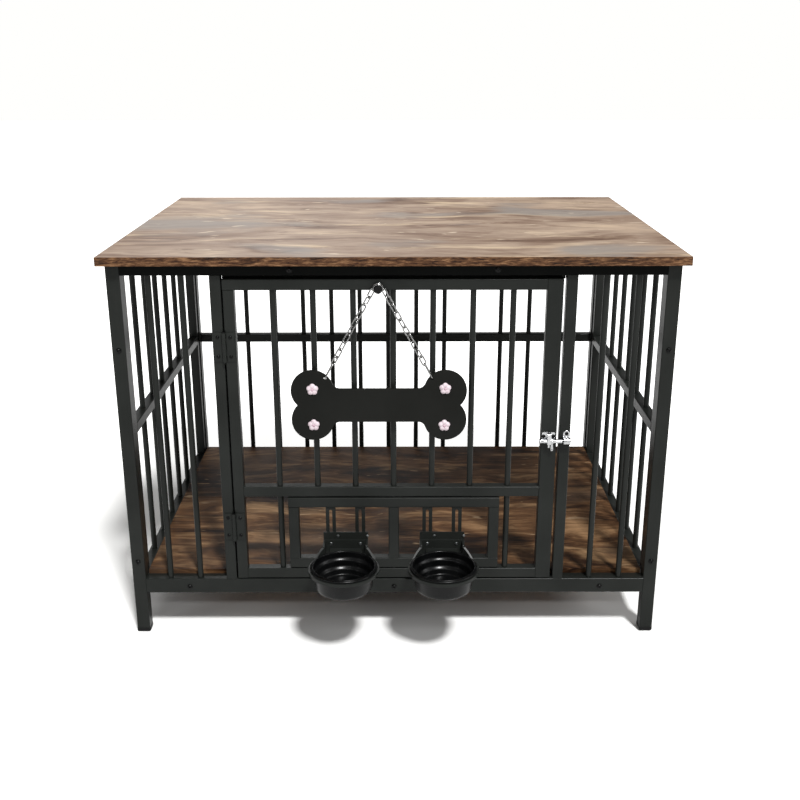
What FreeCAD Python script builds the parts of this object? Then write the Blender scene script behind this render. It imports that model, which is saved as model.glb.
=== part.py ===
import FreeCAD, Part
import math
import os
from FreeCAD import Placement, Rotation, Vector

# Dog crate end table, in millimetres. +Z is up, +X is to the right of someone facing the door, and -Y
# is the front. The origin is on the floor, under the middle of the box round the whole object.

# Table top, a laminated board with its edges banded
TOP_WIDTH = 1040.0
TOP_DEPTH = 770.0
TOP_THICK = 16.0
BAND_THICK = 1.0
HEIGHT = 750.0
SIDE_OVERHANG = 12.0
FRONT_OVERHANG = 17.5
BACK_OVERHANG = 44.0

# Frame of square steel tube
LEG = 25.0
TUBE = 20.0
TUBE_WALL = 1.5
TUBE_CORNER = 2.0
BAR_DIAMETER = 11.0
BOTTOM_RAIL_Z = 86.5
BOTTOM_RAIL_HEIGHT = 30.0
MID_RAIL_SHARE = 0.4795  # height of the middle rails, between the bottom rails and the top rails
BACK_BAR_COUNT = 13
BACK_BAR_ENDS = (46.8, 82.8)  # from the legs to the first and to the last bar's middle line
SIDE_BAR_COUNT = 6
FRONT_BAR_SHARES = (0.33, 0.70)  # where the bars stand between a door post and its leg

# Foot plugs, whose spigots push up into the legs
CAP_WIDTH = 26.0
CAP_HEIGHT = 9.0
CAP_CORNER = 3.0
CAP_ROUND = 4.0
CAP_SPIGOT = 15.0
CAP_PLAY = 0.1

# Floor of the cage and the tubes that carry the floor and the top
FLOOR_THICK = 15.0
FLOOR_SIDE_GAP = 1.0  # from the floor board to the legs
FLOOR_BACK_GAP = 0.5
FLOOR_BAR_RISE = 3.5
FLOOR_BAR_INSET = 84.5
FLOOR_BAR_MIDDLE = -1.0
TOP_BAR_SHARE = 0.38  # of the way from the middle to a leg

# Bolts of the frame and screws
BOLT_DIAMETER = 6.0
BOLT_HEAD = 10.5
BOLT_HEAD_HEIGHT = 3.0
BOLT_HOLE_PLAY = 0.4
THREAD_PLAY = 0.1
NUT_WIDTH = 16.8
NUT_THICK = 5.0
BOLT_TAIL = 1.0
LEG_BOLT_RISE = 37.0
LEG_BOLT_DROP = 137.0
SCREW_DIAMETER = 3.4
SCREW_HEAD = 7.0
SCREW_HEAD_HEIGHT = 1.8
SCREW_GRIP = 8.0
SCREW_PLAY = 0.4
TOP_SCREW_DIAMETER = 4.0
TOP_SCREW_HEAD = 8.0
TOP_SCREW_BITE = 10.0
TOP_SCREWS_PER_BAR = 3

# Door
DOOR_OPENING = 612.0
DOOR_GAP_HINGE = 2.5
DOOR_GAP_LATCH = 5.0
DOOR_GAP_TOP = 6.5
DOOR_GAP_BOTTOM = 2.5
LATCH_STILE = 29.0
DOOR_MID_RAIL_RISE = 151.0
DOOR_BAR_COUNT = 7
DOOR_BAR_ENDS = (67.45, 58.45)  # from the stiles to the first and to the last bar's middle line

# Stop strips behind the gaps at the top and the hinge side of the door
STOP_THICK = 2.0
STOP_BITE = 8.0
STOP_REACH = 10.0
STOP_RELIEF = 0.5

# Butt hinges
HINGE_HEIGHT = 54.5
HINGE_INSETS = (110.3, 123.5)  # from the door's lower and upper end to the middle of a hinge
HINGE_KNUCKLES = 5
BARREL_RADIUS = 4.0
BARREL_STANDOFF = 0.2
HINGE_PIN = 4.0
HINGE_PIN_PLAY = 0.1
PIN_HEAD = 6.5
PIN_HEAD_HEIGHT = 2.0
LEAF_WIDTH = 19.0
LEAF_THICK = 2.0
KNUCKLE_GAP = 0.3
LEAF_RELIEF = 0.5
LEAF_SCREW_X = 11.5
LEAF_SCREW_Z = 18.0

# Slide latch, whose places along X are measured from the door's latch edge and from the post's inner edge
LATCH_RISE = 285.5
ROD_DIAMETER = 7.5
ROD_PLAY = 0.1
ROD_STANDOFF = 5.6
ROD_REACH = (-34.0, 10.0)
ROD_CHAMFER = 1.0
LATCH_PLATE_REACH = (-27.5, -3.5)
LATCH_PLATE_LOW = 6.0
LATCH_PLATE_HIGH = 15.5
LATCH_PLATE_THICK = 2.0
GUIDE_REACH = (-18.5, -11.7)
GUIDE_TOP = 0.5
GUIDE_COVER = 2.2
GUIDE_STUB = 4.0
GUIDE_STUB_LENGTH = 6.5
LATCH_SCREW_SHIFT = 8.8
LATCH_SCREW_RISE = 8.0
KEEPER_REACH = (6.5, 19.5)
KEEPER_LOW = 6.5
KEEPER_HIGH = 18.5
KEEPER_SLEEVE = 13.0
KEEPER_SCREW_RISE = 12.8
KEEPER_PLAY = 0.8
HANDLE_COLLAR = 10.4
HANDLE_WIDTH = 4.2
HANDLE_GAP = 0.3
HANDLE_DROP = 19.5
HANDLE_NECK = 2.6
HANDLE_BALL = 7.0
HANDLE_SHOULDER = 0.3
HANDLE_CONE_RISE = 1.0

# Feeder flap, which turns about two upright pins in the middle of the door
FLAP_SIDE_GAP = 9.3
FLAP_GAP_TOP = 2.5
FLAP_GAP_BOTTOM = 2.0
FLAP_PIN = 8.0
FLAP_PIN_PLAY = 0.1
FLAP_PIN_BITE = 10.0
WASHER_DIAMETER = 16.0
WASHER_PLAY = 0.1

# Hanger straps for the bowl brackets
BOWL_SHARE = 0.23  # of the flap's width, from its middle to a bowl
STRAP_OFFSET = 28.0
STRAP_WIDTH = 19.0
STRAP_THICK = 2.5
STRAP_SETBACK = 3.0
STRAP_LUG = 14.0
STRAP_END_RISE = 35.0
SLOT_WIDTH = 5.5
SLOT_RISE = 49.0
SLOT_TOP_GAP = 5.5

# Bowl brackets. Heights are above the lower edge of the flap.
BRACKET_HALF_WIDTH = 42.5
BRACKET_RISES = (31.0, 75.0)
BRACKET_PLATE = 2.5
BRACKET_SLIDE_GAP = 0.2
PAD_RISE = 60.0
PAD_PROUD = 3.5
BRACKET_SCREW_RISE = 53.0
BRACKET_SCREW = 4.0
CLAMP_HALF_HEIGHT = 7.0
CLAMP_THICK = 2.0
CLAMP_NUT = 8.0
CLAMP_NUT_THICK = 3.0
RIVET_SHIFT = 13.5
RIVET_RISE = 67.5
RIVET_DIAMETER = 3.0
RIVET_HEAD = 5.5
RIVET_HEAD_HEIGHT = 1.4
CHEEK_THICK = 4.0
CHEEK_START = 52.0
NECK_HALF_WIDTH = 30.0
RING_OUTER = 65.5
RING_WIDTH = 6.0
RING_RISE = 37.0
RING_THICK = 6.0
RING_BITE = 1.0
CRADLE_THICK = 3.0
CRADLE_BITE = 0.5
CRADLE_TOP_RISE = 61.0
CRADLE_END_RISE = 34.0
CRADLE_Y = (30.0, 55.0)

# Bowls
BOWL_REACH = 82.5
BOWL_FLOOR_RISE = 2.0
BOWL_RIM_RADIUS = 62.5
BOWL_RIM_HEIGHT = 5.0
BOWL_RIM_ROUND = 2.25
BOWL_RING_PLAY = 1.0
BOWL_BASE_RADIUS = 50.0
BOWL_BASE_ROUND = 7.0
BOWL_WALL = 2.5
BOWL_FOOT = 3.0
BOWL_INNER_STEPS = ((41.0, 0.0), (44.5, 13.0), (49.0, 15.5), (51.0, 27.0), (54.5, 29.5))

# Bone sign, its chain and knobs
SIGN_THICK = 5.0
SIGN_STANDOFF = 9.0
SIGN_HANG = 215.8  # from the peg down to the middle of the sign
LOBE_X = 121.0
LOBE_Z = 27.8
LOBE_RADIUS = 39.0
SIGN_WAIST = 31.8
SIGN_FILLET = 14.0
LOBE_MIDDLE_ANGLE = 60.0
CHAIN_HOLE = 5.0
CHAIN_HOLE_INSET = 5.5
CHAIN_HOLE_ANGLE = 45.0
PEG_OFFSET = -26.25
PEG_DROP = 15.5
PEG_DIAMETER = 12.0
PEG_LENGTH = 16.0
PEG_LIP = 14.5
PEG_LIP_THICK = 2.0
PEG_CLEARANCE = 1.4
CREST_ANGLE = 75.0  # that the top link bends each way from the top of the peg
LINK_WIRE = 2.2
LINK_WIDTH = 11.5
LINK_PITCH = 15.6
LINK_GAP = 0.9
LOOP_SHORTEST = 26.0
LINK_ROLLS = (45.0, -45.0)
LOOP_ROLL = 90.0
KNOB_SPOTS = ((-120.5, 31.0), (120.5, 32.5), (-119.5, -37.5), (119.5, -38.5))
PETAL_COUNT = 5
PETAL_RADIUS = 5.0
PETAL_CIRCLE = 6.2
KNOB_CENTRE = 5.2
KNOB_HEIGHT = 5.0
KNOB_STEM = 3.0
STEM_PLAY = 0.1

# Places worked out from the sizes above
frame_half = TOP_WIDTH / 2 - SIDE_OVERHANG
ring_reach = BOWL_REACH + RING_OUTER
frame_depth = TOP_DEPTH - FRONT_OVERHANG - BACK_OVERHANG
front = (FRONT_OVERHANG + ring_reach - TOP_DEPTH) / 2
back = front + frame_depth
top_front = front - FRONT_OVERHANG
top_back = top_front + TOP_DEPTH
under_top = HEIGHT - TOP_THICK
top_rail_z = under_top - TUBE
bottom_rail_top = BOTTOM_RAIL_Z + BOTTOM_RAIL_HEIGHT
leg_inner = frame_half - LEG
panel_x = frame_half - LEG / 2
post_inner = DOOR_OPENING / 2
post_outer = post_inner + TUBE
rail_centre_y = front + TUBE / 2
mid_rail_z = bottom_rail_top + (top_rail_z - bottom_rail_top) * MID_RAIL_SHARE
floor_bar_z = BOTTOM_RAIL_Z + FLOOR_BAR_RISE
floor_bar_x = (FLOOR_BAR_INSET - leg_inner, FLOOR_BAR_MIDDLE, leg_inner - FLOOR_BAR_INSET)
floor_top = floor_bar_z + TUBE + FLOOR_THICK
top_bar_x = (-leg_inner * TOP_BAR_SHARE, leg_inner * TOP_BAR_SHARE)
leg_bolt_z = (bottom_rail_top + LEG_BOLT_RISE, top_rail_z - LEG_BOLT_DROP)

door_left = -post_inner + DOOR_GAP_HINGE
door_right = post_inner - DOOR_GAP_LATCH
door_bottom = bottom_rail_top + DOOR_GAP_BOTTOM
door_top = top_rail_z - DOOR_GAP_TOP
door_centre = (door_left + door_right) / 2
door_mid_rail_z = door_bottom + TUBE + DOOR_MID_RAIL_RISE
stile_x = door_right - LATCH_STILE
door_bar_x = (door_left + TUBE + DOOR_BAR_ENDS[0], stile_x - DOOR_BAR_ENDS[1])
hinge_x = door_left - DOOR_GAP_HINGE / 2
hinge_y = front - BARREL_RADIUS - BARREL_STANDOFF
hinge_z = (door_bottom + HINGE_INSETS[0], door_top - HINGE_INSETS[1])

latch_z = door_bottom + LATCH_RISE
rod_x = (door_right + ROD_REACH[0], door_right + ROD_REACH[1])
rod_y = front - LATCH_PLATE_THICK - ROD_STANDOFF
plate_x = (door_right + LATCH_PLATE_REACH[0], door_right + LATCH_PLATE_REACH[1])
plate_z = (latch_z - LATCH_PLATE_LOW, latch_z + LATCH_PLATE_HIGH)
guide_x = (door_right + GUIDE_REACH[0], door_right + GUIDE_REACH[1])
keeper_x = (post_inner + KEEPER_REACH[0], post_inner + KEEPER_REACH[1])
keeper_z = (latch_z - KEEPER_LOW, latch_z + KEEPER_HIGH)

flap_bottom = door_bottom + TUBE + FLAP_GAP_BOTTOM
flap_top = door_mid_rail_z - FLAP_GAP_TOP
flap_left = door_bar_x[0] + BAR_DIAMETER / 2 + FLAP_SIDE_GAP
flap_right = door_bar_x[1] - BAR_DIAMETER / 2 - FLAP_SIDE_GAP
bracket_z = (flap_bottom + BRACKET_RISES[0], flap_bottom + BRACKET_RISES[1])
pad_top_z = flap_bottom + PAD_RISE
clamp_z = flap_bottom + BRACKET_SCREW_RISE
cradle_top_z = flap_bottom + CRADLE_TOP_RISE
bowl_y = front - BOWL_REACH
bowl_floor_z = flap_bottom + BOWL_FLOOR_RISE
ring_z = flap_bottom + RING_RISE
ring_top = ring_z + RING_THICK
bowl_rim_top = ring_top + BOWL_RIM_HEIGHT
peg_x = door_centre + PEG_OFFSET
peg_z = door_top - PEG_DROP
sign_y = front - SIGN_STANDOFF
sign_z = peg_z - SIGN_HANG


def block(x, y, z):
    """A box between two values on each axis."""
    return Part.makeBox(x[1] - x[0], y[1] - y[0], z[1] - z[0], Vector(x[0], y[0], z[0]))


def rod(diameter, start, direction, length):
    return Part.makeCylinder(diameter / 2, length, Vector(*start), Vector(*direction))


def rounded_block(x, y, z, along, radius):
    """A box whose four edges along one axis are rounded."""
    solid = block(x, y, z)
    axis = "XYZ".index(along)
    edges = [e for e in solid.Edges if abs(e.tangentAt(e.FirstParameter)[axis]) > 0.99]
    return solid.makeFillet(radius, edges)


def tube(x, y, z, along):
    """A hollow square or oblong tube, open at both ends."""
    spans = dict(X=x, Y=y, Z=z)
    bore = {k: s if k == along else (s[0] + TUBE_WALL, s[1] - TUBE_WALL) for k, s in spans.items()}
    return rounded_block(x, y, z, along, TUBE_CORNER).cut(block(bore["X"], bore["Y"], bore["Z"]))


def placed(solid, position, direction=(0, 0, 1)):
    """A copy of a solid built along +Z, turned to a direction and moved to a position."""
    turn = Rotation(Vector(0, 0, 1), Vector(*direction))
    copy = solid.copy()
    copy.Placement = Placement(Vector(*position), turn)
    return copy


def dome_screw(head, head_height, shank, length):
    """A screw along -Z: a domed head on z = 0 and a round shank below it."""
    sphere = (head * head / 4 + head_height * head_height) / (2 * head_height)
    ball = Part.makeSphere(sphere, Vector(0, 0, head_height - sphere))
    cap = ball.common(block((-head, head), (-head, head), (0, head)))
    return cap.fuse(rod(shank, (0, 0, -length), (0, 0, 1), length)).removeSplitter()


def square_nut(width, thick, bore):
    half = width / 2
    solid = block((-half, half), (-half, half), (0, thick))
    return solid.cut(rod(bore, (0, 0, 0), (0, 0, 1), thick))


def washer(outer, inner, thick):
    return rod(outer, (0, 0, 0), (0, 0, 1), thick).cut(rod(inner, (0, 0, 0), (0, 0, 1), thick))


def drilled(solid, spots, direction, diameter, depth):
    """The solid with a round hole at each spot."""
    for spot in spots:
        solid = solid.cut(rod(diameter, spot, direction, depth))
    return solid


def table_top():
    """The board, the banding round its four edges, and the screws up through the top cross bars."""
    x = (-TOP_WIDTH / 2, TOP_WIDTH / 2)
    y = (top_front, top_back)
    z = (under_top, HEIGHT)
    board_x = (x[0] + BAND_THICK, x[1] - BAND_THICK)
    board_y = (y[0] + BAND_THICK, y[1] - BAND_THICK)
    board = block(board_x, board_y, z)
    band = block(x, y, z).cut(board)
    spots = [(bar_x, screw_y, top_rail_z) for bar_x in top_bar_x for screw_y in top_screw_places()]
    pilot = [(s[0], s[1], under_top) for s in spots]
    board = drilled(board, pilot, (0, 0, 1), TOP_SCREW_DIAMETER + THREAD_PLAY, TOP_SCREW_BITE + THREAD_PLAY)
    screw = dome_screw(TOP_SCREW_HEAD, SCREW_HEAD_HEIGHT, TOP_SCREW_DIAMETER, TUBE + TOP_SCREW_BITE)
    screws = [placed(screw, spot, (0, 0, -1)) for spot in spots]
    return {"tabletop_panel": [board], "tabletop_edge_band": [band], "tabletop_screws": screws}


def top_screw_places():
    """Places along a top cross bar for the screws that hold the board."""
    span = frame_depth - 2 * TUBE
    return [front + TUBE + span * (i + 0.5) / TOP_SCREWS_PER_BAR for i in range(TOP_SCREWS_PER_BAR)]


def bolt_sets():
    """Every frame bolt as (head position, direction of the shank, length, nut position)."""
    sets = []
    for face, inward, rail in ((front, 1, LEG), (back, -1, TUBE)):
        for side in (-1, 1):
            for z in leg_bolt_z:
                nut = face + inward * (LEG + TUBE_WALL)
                sets.append(((side * panel_x, face, z), inward, LEG + TUBE_WALL, nut))
        for x in floor_bar_x:
            sets.append(((x, face, floor_bar_z + TUBE / 2), inward, rail, face + inward * rail))
        for x in top_bar_x:
            sets.append(((x, face, top_rail_z + TUBE / 2), inward, TUBE, face + inward * TUBE))
    return sets


def bolts_and_nuts():
    bolts, nuts = [], []
    nut = square_nut(NUT_WIDTH, NUT_THICK, BOLT_DIAMETER + THREAD_PLAY)
    for head, inward, grip, nut_y in bolt_sets():
        bolt = dome_screw(BOLT_HEAD, BOLT_HEAD_HEIGHT, BOLT_DIAMETER, grip + NUT_THICK + BOLT_TAIL)
        bolts.append(placed(bolt, head, (0, -inward, 0)))
        nuts.append(placed(nut, (head[0], nut_y, head[2]), (0, inward, 0)))
    return {"frame_bolts": bolts, "frame_nuts": nuts}


def bolt_drilled(solid, x_range, face, reach):
    """A frame tube with the holes for the frame bolts that start on a face and pass within an x range."""
    spots = [(head, inward) for head, inward, _, _ in bolt_sets()
             if head[1] == face and x_range[0] < head[0] < x_range[1]]
    for head, inward in spots:
        if solid.BoundBox.ZMin < head[2] < solid.BoundBox.ZMax:
            hole = rod(BOLT_DIAMETER + BOLT_HOLE_PLAY, head, (0, inward, 0), reach)
            solid = solid.cut(hole)
    return solid


def legs():
    parts = {}
    for side_name, side in (("left", -1), ("right", 1)):
        x = sorted((side * leg_inner, side * frame_half))
        for row, y, face in (("front", (front, front + LEG), front), ("back", (back - LEG, back), back)):
            leg = tube(x, y, (CAP_HEIGHT, under_top), "Z")
            parts[f"leg_{row}_{side_name}"] = [bolt_drilled(leg, x, face, LEG)]
    return parts


def foot_caps():
    """A plastic plug under each leg, rounded where it stands, with a spigot inside the tube."""
    half, bore = CAP_WIDTH / 2, LEG / 2 - TUBE_WALL - CAP_PLAY
    foot = rounded_block((-half, half), (-half, half), (0, CAP_HEIGHT), "Z", CAP_CORNER)
    foot = foot.makeFillet(CAP_ROUND, [e for e in foot.Edges if e.BoundBox.ZMax < CAP_HEIGHT / 2])
    plug = foot.fuse(block((-bore, bore), (-bore, bore), (CAP_HEIGHT, CAP_HEIGHT + CAP_SPIGOT)))
    return {"foot_caps": [placed(plug, (side * panel_x, y, 0))
                          for side in (-1, 1) for y in (front + LEG / 2, back - LEG / 2)]}


def front_frame():
    """Rails, door posts and the plain bars beside the door."""
    between = (-leg_inner, leg_inner)
    top = tube(between, (front, front + TUBE), (top_rail_z, under_top), "X")
    bottom = tube(between, (front, front + LEG), (BOTTOM_RAIL_Z, bottom_rail_top), "X")
    upright = (bottom_rail_top, top_rail_z)
    parts = {
        "front_top_rail": [bolt_drilled(top, between, front, TUBE)],
        "front_bottom_rail": [bolt_drilled(bottom, between, front, LEG)],
    }
    for name, side in (("left", -1), ("right", 1)):
        x = sorted((side * post_inner, side * post_outer))
        post = tube(x, (front, front + TUBE), upright, "Z")
        parts[f"door_post_{name}"] = [drilled(post, post_screws(name), (0, 1, 0), SCREW_DIAMETER, SCREW_GRIP)]
        clear = leg_inner - post_outer
        places = [side * (post_outer + clear * share) for share in FRONT_BAR_SHARES]
        parts[f"front_{name}_bars"] = upright_bars([(p, rail_centre_y) for p in places], upright)
    return parts


def door_stops():
    """Strips on the back of the top rail and of the hinge post, which cover the gap round the door."""
    y = (front + TUBE, front + TUBE + STOP_THICK)
    relief = (y[0], y[0] + STOP_RELIEF)
    x = (-post_inner, post_inner)
    top = block(x, y, (top_rail_z - STOP_REACH, top_rail_z + STOP_BITE))
    top = top.cut(block(x, relief, (top_rail_z - STOP_REACH, top_rail_z)))
    for bar_x in top_bar_x:
        top = top.cut(block((bar_x - TUBE / 2, bar_x + TUBE / 2), y, (top_rail_z, under_top)))
    side_z = (bottom_rail_top, top_rail_z - STOP_REACH)
    side = block((-post_inner - STOP_BITE, -post_inner + STOP_REACH), y, side_z)
    side = side.cut(block((-post_inner, -post_inner + STOP_REACH), relief, side_z))
    return {"door_stops": [top, side]}


def spaced(ends, count):
    """Evenly spaced places, the first and the last at the ends."""
    return [ends[0] + (ends[1] - ends[0]) * i / (count - 1) for i in range(count)]


def upright_bars(places, z):
    return [rod(BAR_DIAMETER, (x, y, z[0]), (0, 0, 1), z[1] - z[0]) for x, y in places]


def back_frame():
    between = (-leg_inner, leg_inner)
    y = (back - TUBE, back)
    top = tube(between, y, (top_rail_z, under_top), "X")
    bottom = tube(between, y, (BOTTOM_RAIL_Z, bottom_rail_top), "X")
    ends = (BACK_BAR_ENDS[0] - leg_inner, leg_inner - BACK_BAR_ENDS[1])
    places = [(x, back - TUBE / 2) for x in spaced(ends, BACK_BAR_COUNT)]
    lower = upright_bars(places, (bottom_rail_top, mid_rail_z))
    upper = upright_bars(places, (mid_rail_z + TUBE, top_rail_z))
    return {
        "back_top_rail": [bolt_drilled(top, between, back, TUBE)],
        "back_mid_rail": [tube(between, y, (mid_rail_z, mid_rail_z + TUBE), "X")],
        "back_bottom_rail": [bolt_drilled(bottom, between, back, TUBE)],
        "back_bars": lower + upper,
    }


def side_panel(name, side):
    """A welded panel of bars that bolts between a front leg and a back leg."""
    centre = side * panel_x
    x = (centre - TUBE / 2, centre + TUBE / 2)
    ends = (front + LEG, back - LEG)
    inner = (ends[0] + TUBE, ends[1] - TUBE)
    low = bottom_rail_top - TUBE
    posts = []
    for y, face in (((ends[0], inner[0]), front), ((inner[1], ends[1]), back)):
        post = tube(x, y, (low, under_top), "Z")
        posts.append(bolt_drilled(post, x, face, LEG + TUBE / 2))
    rail_z = (low, mid_rail_z, top_rail_z)
    rails = [tube(x, inner, (z, z + TUBE), "Y") for z in rail_z]
    pitch = (inner[1] - inner[0]) / (SIDE_BAR_COUNT + 1)
    places = [(centre, inner[0] + pitch * (i + 1)) for i in range(SIDE_BAR_COUNT)]
    bars = upright_bars(places, (bottom_rail_top, mid_rail_z))
    bars += upright_bars(places, (mid_rail_z + TUBE, top_rail_z))
    return {f"{name}_panel_posts": posts, f"{name}_panel_rails": rails, f"{name}_panel_bars": bars}


def carriers_and_floor():
    """Tubes under the top and under the floor board, and the board."""
    top_bars = []
    for x in top_bar_x:
        bar = tube((x - TUBE / 2, x + TUBE / 2), (front + TUBE, back - TUBE), (top_rail_z, under_top), "Y")
        spots = [(x, y, top_rail_z) for y in top_screw_places()]
        top_bars.append(drilled(bar, spots, (0, 0, 1), TOP_SCREW_DIAMETER + SCREW_PLAY, TUBE))
    floor_z = (floor_bar_z, floor_bar_z + TUBE)
    floor_bars = [tube((x - TUBE / 2, x + TUBE / 2), (front + LEG, back - TUBE), floor_z, "Y")
                  for x in floor_bar_x]
    reach = leg_inner - FLOOR_SIDE_GAP
    board = block((-reach, reach), (front + LEG, back - TUBE - FLOOR_BACK_GAP), (floor_z[1], floor_top))
    return {"top_cross_bars": top_bars, "floor_cross_bars": floor_bars, "floor_panel": [board]}


def leaf_screws(side):
    """Screw places on the hinge leaves at one side of the barrel, on the tubes' front face."""
    x = hinge_x + side * LEAF_SCREW_X
    return [(x, front, z + end * LEAF_SCREW_Z) for z in hinge_z for end in (-1, 1)]


def post_screws(name):
    if name == "left":
        return leaf_screws(-1)
    return [(sum(keeper_x) / 2, front, latch_z + KEEPER_SCREW_RISE)]


def latch_screws():
    middle = sum(plate_x) / 2
    return [(middle + side * LATCH_SCREW_SHIFT, front, latch_z + LATCH_SCREW_RISE) for side in (-1, 1)]


def screws_at(spots, plate):
    """Small dome-headed screws through a plate on the front of a tube."""
    screw = dome_screw(SCREW_HEAD, SCREW_HEAD_HEIGHT, SCREW_DIAMETER - THREAD_PLAY, SCREW_GRIP)
    return [placed(screw, (x, y - plate, z), (0, -1, 0)) for x, y, z in spots]


def hinge_leaf(centre, side, own_knuckles):
    """One leaf: a plate on the front of its tube and the knuckles that it carries on the barrel."""
    low = centre - HINGE_HEIGHT / 2
    step = HINGE_HEIGHT / HINGE_KNUCKLES
    plate_y = (front - LEAF_THICK, front)
    near = hinge_x + side * (BARREL_RADIUS + LEAF_RELIEF)
    far = hinge_x + side * LEAF_WIDTH
    leaf = block(sorted((near, far)), plate_y, (low, low + HINGE_HEIGHT))
    for i in own_knuckles:
        z = (low + step * i + KNUCKLE_GAP / 2, low + step * (i + 1) - KNUCKLE_GAP / 2)
        leaf = leaf.fuse(block(sorted((hinge_x, near)), plate_y, z))
        leaf = leaf.fuse(rod(2 * BARREL_RADIUS, (hinge_x, hinge_y, z[0]), (0, 0, 1), z[1] - z[0]))
    bore = rod(HINGE_PIN + HINGE_PIN_PLAY, (hinge_x, hinge_y, low), (0, 0, 1), HINGE_HEIGHT)
    leaf = leaf.cut(bore).removeSplitter()
    spots = [(x, plate_y[0], z) for x, y, z in leaf_screws(side) if abs(z - centre) < HINGE_HEIGHT]
    return drilled(leaf, spots, (0, 1, 0), SCREW_DIAMETER + SCREW_PLAY, LEAF_THICK)


def hinges():
    post_leaves, door_leaves, pins = [], [], []
    for centre in hinge_z:
        post_leaves.append(hinge_leaf(centre, -1, range(0, HINGE_KNUCKLES, 2)))
        door_leaves.append(hinge_leaf(centre, 1, range(1, HINGE_KNUCKLES, 2)))
        low = centre - HINGE_HEIGHT / 2 + KNUCKLE_GAP / 2
        length = HINGE_HEIGHT - KNUCKLE_GAP
        pin = rod(HINGE_PIN, (hinge_x, hinge_y, low), (0, 0, 1), length)
        for z in (low - PIN_HEAD_HEIGHT, low + length):
            pin = pin.fuse(rod(PIN_HEAD, (hinge_x, hinge_y, z), (0, 0, 1), PIN_HEAD_HEIGHT))
        pins.append(pin.removeSplitter())
    return {"hinge_post_leaves": post_leaves, "hinge_door_leaves": door_leaves, "hinge_pins": pins}


def door():
    """The welded door frame, its bars, the pins of the feeder flap and the peg of the sign."""
    y = (front, front + TUBE)
    inner = (door_left + TUBE, stile_x)
    left = tube((door_left, door_left + TUBE), y, (door_bottom, door_top - TUBE), "Z")
    right = tube((stile_x, door_right), y, (door_bottom, door_top), "Z")
    top = tube((door_left, stile_x), y, (door_top - TUBE, door_top), "X")
    mid = tube(inner, y, (door_mid_rail_z, door_mid_rail_z + TUBE), "X")
    bottom = tube(inner, y, (door_bottom, door_bottom + TUBE), "X")
    pin_hole = FLAP_PIN + FLAP_PIN_PLAY
    pin_spots = [(door_centre, rail_centre_y, z) for z in (door_mid_rail_z, door_bottom + TUBE)]
    mid = drilled(mid, pin_spots[:1], (0, 0, 1), pin_hole, TUBE / 2)
    bottom = drilled(bottom, pin_spots[1:], (0, 0, -1), pin_hole, TUBE / 2)
    places = [(x, rail_centre_y) for x in spaced(door_bar_x, DOOR_BAR_COUNT)]
    bars = upright_bars(places, (door_mid_rail_z + TUBE, door_top - TUBE))
    bars += upright_bars([places[0], places[-1]], (door_bottom + TUBE, door_mid_rail_z))
    peg = rod(PEG_DIAMETER, (peg_x, front, peg_z), (0, -1, 0), PEG_LENGTH)
    peg = peg.fuse(rod(PEG_LIP, (peg_x, front - PEG_LENGTH, peg_z), (0, -1, 0), PEG_LIP_THICK))
    return {
        "door_left_stile": [drilled(left, leaf_screws(1), (0, 1, 0), SCREW_DIAMETER, SCREW_GRIP)],
        "door_right_stile": [drilled(right, latch_screws(), (0, 1, 0), SCREW_DIAMETER, SCREW_GRIP)],
        "door_top_rail": [top],
        "door_mid_rail": [mid],
        "door_bottom_rail": [bottom],
        "door_bars": bars,
        "chain_peg": [peg.removeSplitter()],
        "flap_pins": flap_pins(),
    }


def flap_pins():
    """A pin and a washer above and below the flap."""
    axis = (door_centre, rail_centre_y)
    low = door_bottom + TUBE_WALL
    lower = rod(FLAP_PIN, (*axis, low), (0, 0, 1), flap_bottom + TUBE_WALL + FLAP_PIN_BITE - low)
    high = door_mid_rail_z + TUBE - TUBE_WALL
    upper = rod(FLAP_PIN, (*axis, high), (0, 0, -1), high - flap_top + TUBE_WALL + FLAP_PIN_BITE)
    bore = FLAP_PIN + FLAP_PIN_PLAY
    under = placed(washer(WASHER_DIAMETER, bore, FLAP_GAP_BOTTOM - WASHER_PLAY), (*axis, door_bottom + TUBE))
    over = placed(washer(WASHER_DIAMETER, bore, FLAP_GAP_TOP - WASHER_PLAY), (*axis, flap_top + WASHER_PLAY))
    return [lower, upper, under, over]


def latch():
    """Slide latch: a plate with a guide on the door, the rod in it, its drop handle, and the keeper."""
    plate_y = (front - LATCH_PLATE_THICK, front)
    plate = rounded_block(plate_x, plate_y, plate_z, "Y", TUBE_CORNER)
    guide_y = (rod_y - ROD_DIAMETER / 2 - GUIDE_COVER, plate_y[0])
    guide_z = (plate_z[0], plate_z[1] + GUIDE_TOP)
    guide = rounded_block(guide_x, guide_y, guide_z, "X", GUIDE_COVER)
    stub = rod(GUIDE_STUB, (sum(guide_x) / 2, rod_y, guide_z[0]), (0, 0, -1), GUIDE_STUB_LENGTH)
    bore = rod(ROD_DIAMETER + ROD_PLAY, (guide_x[0], rod_y, latch_z), (1, 0, 0), guide_x[1] - guide_x[0])
    base = plate.fuse([guide, stub]).cut(bore)
    holes = [(x, plate_y[0], z) for x, y, z in latch_screws()]
    base = drilled(base, holes, (0, 1, 0), SCREW_DIAMETER + SCREW_PLAY, LATCH_PLATE_THICK)
    bolt = rod(ROD_DIAMETER, (rod_x[0], rod_y, latch_z), (1, 0, 0), rod_x[1] - rod_x[0])
    bolt = bolt.makeChamfer(ROD_CHAMFER, [e for e in bolt.Edges if e.Closed])
    return {
        "latch_base": [base.removeSplitter()],
        "latch_bolt": [bolt],
        "latch_handle": [latch_handle()],
        "latch_keeper": [keeper()],
    }


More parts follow.
